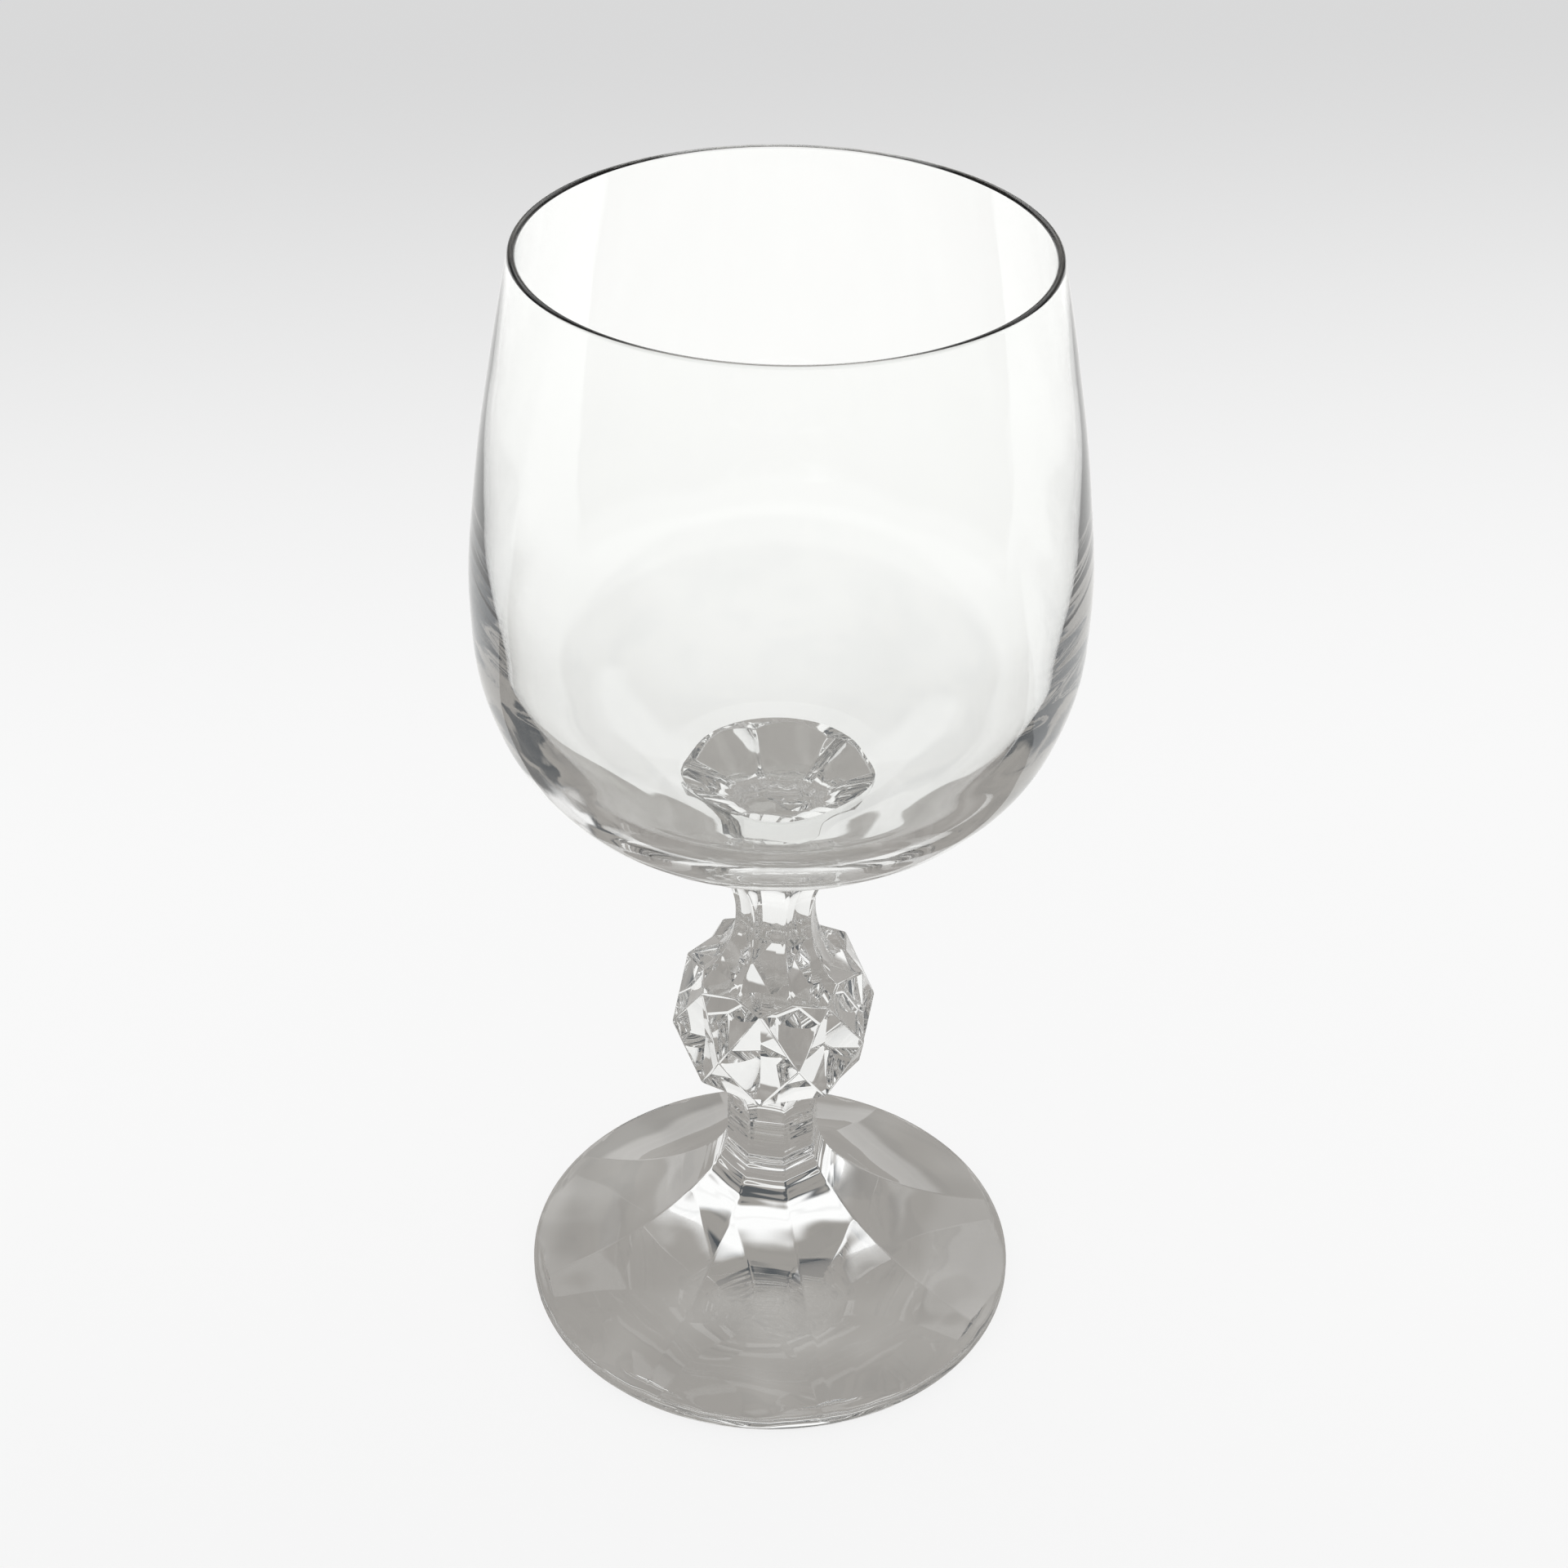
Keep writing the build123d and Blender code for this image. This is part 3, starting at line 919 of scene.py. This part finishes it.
    def execute(self, context):
        scene = context.scene
        look = scene.wine_glass_stage
        deselect()
        self.make_floor(look)
        self.make_world()
        self.make_room(look)
        self.make_camera(look)
        scene.view_settings.view_transform = "Standard"
        scene.cycles.max_bounces = scene.cycles.transmission_bounces = LIGHT_STEPS
        scene.cycles.glossy_bounces = scene.cycles.transparent_max_bounces = LIGHT_STEPS
        return {"FINISHED"}


# ---- Add-on ----------------------------------------------------------------------


class WINEGLASS_PT_panel(bpy.types.Panel):
    """The glass's pieces, and the sizes and looks that they are made with"""

    bl_idname = "WINEGLASS_PT_panel"
    bl_label = "Wine Glass"
    bl_space_type = "VIEW_3D"
    bl_region_type = "UI"
    bl_category = "Wine Glass"

    def draw(self, context):
        for operator in (WINEGLASS_OT_foot, WINEGLASS_OT_stem, WINEGLASS_OT_bowl, WINEGLASS_OT_stage):
            self.layout.operator(operator.bl_idname)
        for attribute, group, label in GROUPS:
            box = self.layout.box()
            box.label(text=label)
            for name in group.__annotations__:
                box.prop(getattr(context.scene, attribute), name)


GROUPS = (("wine_glass_flutes", FluteSizes, "Flutes"), ("wine_glass_foot", FootSizes, "Foot"),
          ("wine_glass_stem", StemSizes, "Stem"), ("wine_glass_bowl", BowlSizes, "Bowl"),
          ("wine_glass_look", GlassLook, "Glass"), ("wine_glass_stage", StageLook, "Stage"))
CLASSES = (*(group for _, group, _ in GROUPS), WINEGLASS_OT_foot, WINEGLASS_OT_stem,
           WINEGLASS_OT_bowl, WINEGLASS_OT_stage, WINEGLASS_PT_panel)


def register():
    for made in CLASSES:
        bpy.utils.register_class(made)
    for attribute, group, _ in GROUPS:
        setattr(bpy.types.Scene, attribute, PointerProperty(type=group))


def unregister():
    for attribute, _, _ in GROUPS:
        delattr(bpy.types.Scene, attribute)
    for made in reversed(CLASSES):
        bpy.utils.unregister_class(made)


def main():
    """Build the glass and its stage."""
    register()
    bpy.ops.wineglass.foot()
    bpy.ops.wineglass.stem()
    bpy.ops.wineglass.bowl()
    bpy.ops.wineglass.stage()
    bpy.context.view_layer.update()


if __name__ == "__main__":
    main()
